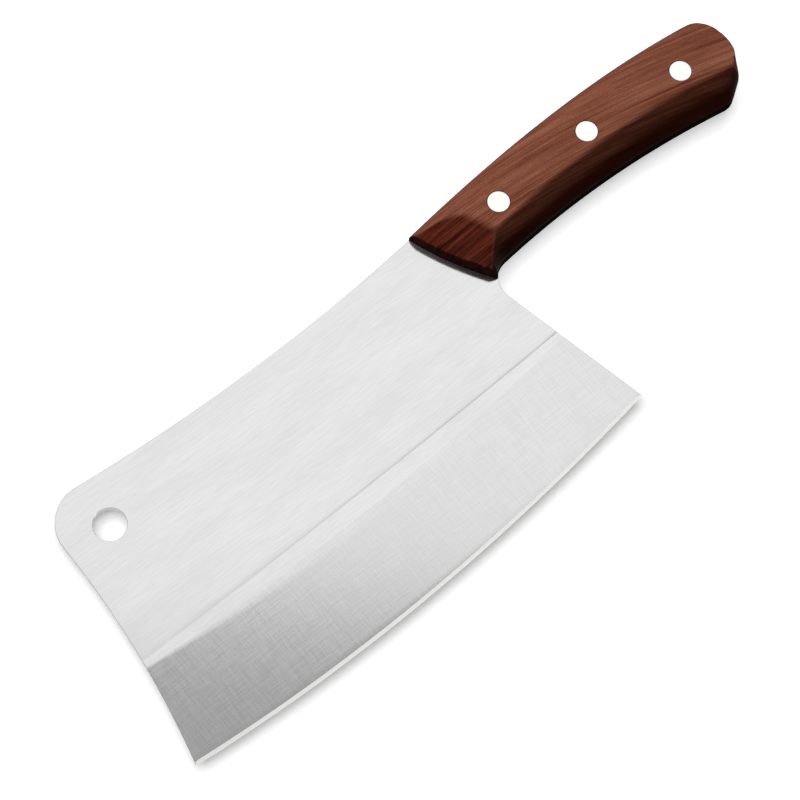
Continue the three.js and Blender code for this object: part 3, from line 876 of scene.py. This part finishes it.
def make_tube(index, materials):
    head, wall, bore = RIVET_HEAD_DIAMETER / 2, TUBE_DIAMETER / 2, TUBE_BORE / 2
    mouth, floor = HEAD_SEAT - TUBE_END_GAP, -HALF_HANDLE + RIVET_BORE_FLOOR
    profile = ((0, -HALF_HANDLE), (head - RIVET_HEAD_ARRIS, -HALF_HANDLE),
               (head, -HALF_HANDLE + RIVET_HEAD_ARRIS), (head, -HEAD_SEAT), (wall, -HEAD_SEAT),
               (wall, mouth), (bore, mouth), (bore, floor), (0, floor))
    return rivet_half("tube", index, profile, materials)


# Materials

class Finish:
    """A material with a principled shader and short ways to add nodes to it."""

    def __init__(self, name, **sockets):
        self.material = bpy.data.materials.new(name)
        self.material.use_nodes = True
        self.tree = self.material.node_tree
        self.shader = self.tree.nodes["Principled BSDF"]
        for socket, value in sockets.items():
            self.shader.inputs[socket.replace("_", " ")].default_value = value

    def node(self, kind, settings=(), **sockets):
        node = self.tree.nodes.new(kind)
        for name, value in dict(settings).items():
            setattr(node, name, value)
        for socket, value in sockets.items():
            self.join(value, node.inputs[socket.replace("_", " ")])
        return node

    def join(self, value, socket):
        if isinstance(value, bpy.types.NodeSocket):
            self.tree.links.new(value, socket)
        else:
            socket.default_value = value

    def set(self, socket, value):
        self.join(value, self.shader.inputs[socket])

    def place(self, scale):
        return self.stretched(self.node("ShaderNodeTexCoord").outputs["Object"], scale)

    def bent_grain(self, straight_at, bend):
        """Places whose second axis bends away as a parabola from where the grain runs straight."""
        spot = self.node("ShaderNodeTexCoord").outputs["Object"]
        spot = self.node("ShaderNodeSeparateXYZ", Vector=spot).outputs
        along = self.math("SUBTRACT", spot["X"], straight_at)
        away = self.math("MULTIPLY", self.math("MULTIPLY", along, along), bend)
        across = self.math("ADD", spot["Y"], away)
        bent = self.node("ShaderNodeCombineXYZ", X=spot["X"], Y=across, Z=spot["Z"])
        return bent.outputs["Vector"]

    def stretched(self, vector, scale):
        return self.node("ShaderNodeMapping", Vector=vector, Scale=scale).outputs["Vector"]

    def noise(self, vector, detail=2.0, roughness=0.5):
        node = self.node("ShaderNodeTexNoise", Vector=vector, Scale=1.0, Detail=detail,
                         Roughness=roughness)
        return node.outputs["Fac"]

    def span(self, value, low, high, to_low, to_high):
        node = self.node("ShaderNodeMapRange")
        for index, given in enumerate((value, low, high, to_low, to_high)):
            self.join(given, node.inputs[index])
        return node.outputs["Result"]

    def math(self, operation, first, second):
        node = self.node("ShaderNodeMath", {"operation": operation})
        self.join(first, node.inputs[0])
        self.join(second, node.inputs[1])
        return node.outputs["Value"]

    def weighed_sum(self, first, first_weight, second, second_weight):
        return self.math("ADD", self.math("MULTIPLY", first, first_weight),
                         self.math("MULTIPLY", second, second_weight))

    def mix(self, share, first, second, blend="MIX"):
        node = self.node("ShaderNodeMix", {"data_type": "RGBA", "blend_type": blend})
        self.join(share, node.inputs["Factor"])
        self.join(first, node.inputs[6])
        self.join(second, node.inputs[7])
        return node.outputs[2]

    def ramp(self, value, stops):
        node = self.node("ShaderNodeValToRGB", Fac=value)
        elements = node.color_ramp.elements
        while len(elements) < len(stops):
            elements.new(0.5)
        for element, (position, colour) in zip(elements, stops):
            element.position = position
            element.color = colour
        return node.outputs["Color"]

    def bump(self, height, strength, distance):
        node = self.node("ShaderNodeBump", Strength=strength, Distance=distance, Height=height)
        self.set("Normal", node.outputs["Normal"])

    def grain_along(self, turn):
        """Anisotropic highlight, turned a share of a full turn from the knife's length."""
        tangent = self.node("ShaderNodeTangent", {"direction_type": "UV_MAP", "uv_map": "along_and_across"})
        self.set("Tangent", tangent.outputs["Tangent"])
        self.shader.inputs["Anisotropic Rotation"].default_value = turn


def flank_steel():
    finish = Finish("flank_steel", Metallic=1.0, Anisotropic=0.4)
    fine = finish.noise(finish.place(FLANK_BRUSHING), detail=4, roughness=0.6)
    broad = finish.noise(finish.place(FLANK_CLOUDS), detail=3)
    tone = finish.weighed_sum(fine, 0.6, broad, 0.4)
    finish.set("Base Color", finish.ramp(tone, ((0.38, FLANK_DARK), (0.62, FLANK_PALE))))
    finish.set("Roughness", finish.span(fine, 0.3, 0.7, to_low=0.12, to_high=0.145))
    finish.bump(fine, strength=0.03, distance=0.00005)
    finish.grain_along(0.25)
    return finish.material


def bevel_steel():
    """Ground two ways, so that fine scratches cross; faint clouds lie over them."""
    finish = Finish("bevel_steel", Metallic=1.0)
    across = finish.noise(finish.place(BEVEL_ACROSS), detail=2)
    along = finish.noise(finish.place(BEVEL_ALONG), detail=2)
    clouds = finish.noise(finish.place(BEVEL_CLOUDS), detail=2)
    scratches = finish.weighed_sum(across, 0.45, along, 0.45)
    tone = finish.weighed_sum(scratches, 1.0, clouds, 0.1)
    finish.set("Base Color", finish.ramp(tone, ((0.43, BEVEL_DARK), (0.57, BEVEL_PALE))))
    finish.set("Roughness", finish.span(scratches, 0.3, 0.5, to_low=0.16, to_high=0.19))
    finish.bump(scratches, strength=0.5, distance=0.00003)
    return finish.material


def honed_steel():
    finish = Finish("honed_steel", Metallic=1.0)
    across = finish.noise(finish.place(HONED_ACROSS), detail=2)
    finish.set("Base Color", finish.ramp(across, ((0.3, HONED_DARK), (0.7, HONED_PALE))))
    finish.set("Roughness", finish.span(across, 0.3, 0.7, to_low=0.6, to_high=0.7))
    finish.bump(across, strength=0.08, distance=0.00004)
    return finish.material


# The tang's rim under the handle: nearly black and without sheen, a painted shade in place of the dark
# reflection it would show
def tang_painted_shade():
    finish = Finish("tang_painted_shade", Specular_IOR_Level=0.0)
    grain = finish.noise(finish.place(TANG_GRAIN), detail=2)
    finish.set("Base Color", finish.ramp(grain, ((0.3, TANG_PAINTED_SHADE_DARK), (0.7, TANG_PAINTED_SHADE_PALE))))
    finish.set("Roughness", finish.span(grain, 0.3, 0.7, to_low=0.6, to_high=0.75))
    return finish.material


def rivet_steel():
    finish = Finish("rivet_steel", Metallic=1.0)
    turning = finish.noise(finish.place(RIVET_TURNING), detail=3)
    finish.set("Base Color", finish.ramp(turning, ((0.3, RIVET_DARK), (0.7, RIVET_PALE))))
    finish.set("Roughness", finish.span(turning, 0.3, 0.7, to_low=0.16, to_high=0.22))
    finish.bump(turning, strength=0.02, distance=0.00004)
    return finish.material


def scale_wood(name, sheen):
    """Red-brown hardwood whose grain bends with the handle; cut faces show vein streaks darkened by painted
    shade, and the chamfer, end and edges get more painted shade.
    """
    finish = Finish(name, Specular_IOR_Level=sheen)
    grain = finish.bent_grain(GRAIN_STRAIGHT_AT / MM_PER_METRE, GRAIN_BEND)
    streaks = finish.noise(finish.stretched(grain, WOOD_STREAKS), detail=5, roughness=0.6)
    lines = finish.noise(finish.stretched(grain, WOOD_LINES), detail=4, roughness=0.6)
    fibres = finish.noise(finish.stretched(grain, WOOD_FIBRES), detail=3, roughness=0.6)
    pores = finish.noise(finish.stretched(grain, WOOD_PORES), detail=1)
    tone = finish.weighed_sum(streaks, 0.4, lines, 0.6)
    colour = finish.ramp(tone, (
        (0.37, WOOD_DARK), (0.46, WOOD_BROWN), (0.54, WOOD_RED), (0.63, WOOD_PALE),
    ))
    speck = finish.weighed_sum(fibres, 0.5, pores, 0.5)
    shade = finish.ramp(speck, ((0.38, PORE_SHADE), (0.58, WHITE)))
    colour = finish.mix(1.0, colour, shade, "MULTIPLY")
    # Vein streaks that also paint shade over the whole cut face
    vein_and_shade = finish.ramp(tone, ((0.42, VEIN_AND_SHADE_DARK), (0.6, VEIN_AND_SHADE_PALE)))
    cut = finish.node("ShaderNodeAttribute", {"attribute_name": "cut_face"}).outputs["Fac"]
    colour = finish.mix(cut, colour, finish.mix(1.0, colour, vein_and_shade, "MULTIPLY"))
    # Painted shade on the chamfer, end and edges
    painted_shade = finish.node("ShaderNodeAttribute", {"attribute_name": "painted_shade"}).outputs["Fac"]
    painted_shade_colour = finish.mix(1.0, colour, PAINTED_SHADE_TINT, "MULTIPLY")
    finish.set("Base Color", finish.mix(painted_shade, colour, painted_shade_colour))
    finish.set("Roughness", finish.span(fibres, 0.3, 0.7, to_low=0.5, to_high=0.62))
    finish.bump(fibres, strength=0.12, distance=0.00008)
    return finish.material


# Stage, light and camera

up_screen = Vector((CAMERA_UP[0], CAMERA_UP[1], 0)).normalized()
overhead = Vector((0, 0, 1))


def make_floor():
    """A pale sheet, close under the blade and falling away to carry the handle."""
    finish = Finish("pale_floor", Roughness=0.9, Specular_IOR_Level=0.0)
    up = np.array(up_screen[:2])
    across = np.array((up[1], -up[0])) * FLOOR_REACH
    falling = np.linspace(FLOOR_FALL_FROM, FLOOR_FALL_TO, FLOOR_FALL_STEPS + 1)
    stations = np.concatenate(((-FLOOR_REACH,), falling, (FLOOR_REACH,)))
    share = np.clip((stations - FLOOR_FALL_FROM) / (FLOOR_FALL_TO - FLOOR_FALL_FROM), 0, 1)
    share = share ** 2 * (3 - 2 * share)
    levels = -FLOOR_UNDER_BLADE - (HALF_HANDLE + FLOOR_GAP - FLOOR_UNDER_BLADE) * share
    middle = stations[:, None] * up
    count = len(stations)
    corners = np.column_stack((np.vstack((middle - across, middle + across)), np.tile(levels, 2)))
    faces = [(i, i + count, i + 1 + count, i + 1) for i in range(count - 1)]
    mesh = bpy.data.meshes.new("floor")
    mesh.from_pydata(to_frame(corners).tolist(), [], faces)
    mesh.polygons.foreach_set("use_smooth", [True] * len(faces))
    mesh.attributes.new("under_handle", "FLOAT", "POINT").data.foreach_set("value", np.tile(share, 2))
    mesh.materials.append(finish.material)
    floor = bpy.data.objects.new("floor", mesh)
    bpy.context.scene.collection.objects.link(floor)
    path = finish.node("ShaderNodeLightPath").outputs
    seen = finish.math("MAXIMUM", path["Is Camera Ray"], path["Is Transmission Ray"])
    seen = finish.math("MAXIMUM", seen, path["Is Glossy Ray"])
    finish.set("Base Color", finish.mix(seen, FLOOR_UNSEEN, FLOOR_SEEN))
    glow = finish.node("ShaderNodeEmission")
    # Under the handle the floor glows brighter, painted light that fades the handle's shadow
    handle = finish.node("ShaderNodeAttribute", {"attribute_name": "under_handle"}).outputs["Fac"]
    strength = finish.span(handle, 0, 1, BLADE_FLOOR_GLOW, HANDLE_FLOOR_GLOW)
    spot = finish.node("ShaderNodeTexCoord").outputs["Object"]
    away = finish.node("ShaderNodeVectorMath", {"operation": "LENGTH"}, Vector=spot).outputs["Value"]
    far = finish.span(away, FLOOR_NEAR / MM_PER_METRE, FLOOR_FAR / MM_PER_METRE, 0, 1)
    strength = finish.math("MAXIMUM", strength, far)
    finish.join(finish.math("MULTIPLY", seen, strength), glow.inputs["Strength"])
    both = finish.node("ShaderNodeAddShader")
    finish.tree.links.new(finish.shader.outputs["BSDF"], both.inputs[0])
    finish.tree.links.new(glow.outputs["Emission"], both.inputs[1])
    finish.tree.links.new(both.outputs["Shader"], finish.tree.nodes["Material Output"].inputs["Surface"])
    return floor


def make_world():
    world = bpy.data.worlds.new("studio")
    world.use_nodes = True
    background = world.node_tree.nodes["Background"]
    background.inputs["Color"].default_value = WHITE
    path = world.node_tree.nodes.new("ShaderNodeLightPath")
    strength = world.node_tree.nodes.new("ShaderNodeMapRange")
    strength.inputs["To Min"].default_value = WORLD_FILL
    strength.inputs["To Max"].default_value = WORLD_MIRRORED
    world.node_tree.links.new(path.outputs["Is Glossy Ray"], strength.inputs["Value"])
    world.node_tree.links.new(strength.outputs["Result"], background.inputs["Strength"])
    bpy.context.scene.world = world


def stood(middle, back, up):
    """A place turned so that its own +Z points back and its +Y as nearly up as that allows."""
    side = up.cross(back).normalized()
    turn = Matrix((side, back.cross(side), back)).transposed()
    return Matrix.Translation(middle) @ turn.to_4x4()


def add_lamp(name, middle, back, up, width, height, radiance, lit):
    """A rectangular lamp, evenly bright, that shines against its back direction on the pieces it lights."""
    light = bpy.data.lights.new(name, "AREA")
    light.shape = "RECTANGLE"
    light.size = width
    light.size_y = height
    light.energy = radiance * math.pi * width * height
    lamp = bpy.data.objects.new(name, light)
    lamp.matrix_world = stood(middle, back, up)
    lamp.light_linking.receiver_collection = lit
    bpy.context.scene.collection.objects.link(lamp)


def lit_group(name, pieces):
    group = bpy.data.collections.new(name)
    for piece in pieces:
        group.objects.link(piece)
    return group


def make_card(lit):
    """A level pale card above the knife; short of its near edge the steel mirrors the greyer world."""
    middle = frame_point((0, 0, CARD_HEIGHT)) + up_screen * (CARD_NEAR + CARD_FAR) / (2 * MM_PER_METRE)
    width, length = CARD_WIDTH / MM_PER_METRE, (CARD_FAR - CARD_NEAR) / MM_PER_METRE
    add_lamp("pale_card", middle, overhead, up_screen, width, length, CARD_RADIANCE, lit)


def make_leaning_lamp(name, towards, lean, distance, size, radiance, lit):
    """A square lamp on the given side of the knife, leaning that many degrees from overhead."""
    low = math.radians(lean)
    level = Vector((*towards, 0)).normalized()
    back = level * math.sin(low) + overhead * math.cos(low)
    middle = frame_point(CAMERA_AIM) + back * distance / MM_PER_METRE
    add_lamp(name, middle, back, overhead, size / MM_PER_METRE, size / MM_PER_METRE, radiance, lit)


def make_floor_lamp(lit):
    size = FLOOR_LAMP_SIZE / MM_PER_METRE
    middle = frame_point(FLOOR_LAMP_PLACE)
    add_lamp("floor_lamp", middle, overhead, up_screen, size, size, FLOOR_LAMP_RADIANCE, lit)


def make_camera():
    camera = bpy.data.cameras.new("camera")
    camera.lens = CAMERA_LENS
    camera.sensor_width = CAMERA_SENSOR
    holder = bpy.data.objects.new("camera", camera)
    place, aim = frame_point(CAMERA_PLACE), frame_point(CAMERA_AIM)
    holder.matrix_world = stood(place, (place - aim).normalized(), Vector(CAMERA_UP))
    bpy.context.scene.collection.objects.link(holder)
    bpy.context.scene.camera = holder


# Assembly

make_camera()
blade = make_blade((flank_steel(), bevel_steel(), honed_steel(), tang_painted_shade()))
scale_shell = make_scale_shell()
wood = (scale_wood("scale_wood", FACE_SHEEN), scale_wood("scale_edge_wood", EDGE_SHEEN))
scales = (scale_shell.piece("near_wood", "upper_scale", "scale_wood", wood),
          scale_shell.flipped().piece("far_wood", "lower_scale", "scale_wood", wood))
bright = rivet_steel()
rivets = []
for index in range(len(rivet_names)):
    rivets.append(make_pin(index, (bright,)))
    rivets.append(make_tube(index, (bright,)))
floor = make_floor()
make_world()
make_card(lit_group("lit_steel", (blade, *rivets)))
make_leaning_lamp("key", KEY_TOWARDS, KEY_LEAN, KEY_DISTANCE, KEY_SIZE, KEY_RADIANCE,
                  lit_group("lit_wood", scales))
make_leaning_lamp("edge_lamp", EDGE_TOWARDS, EDGE_LEAN_OVER, EDGE_DISTANCE, EDGE_SIZE, EDGE_RADIANCE,
                  lit_group("lit_blade", (blade,)))
make_floor_lamp(lit_group("lit_floor", (floor,)))
bpy.context.scene.view_settings.view_transform = "Standard"
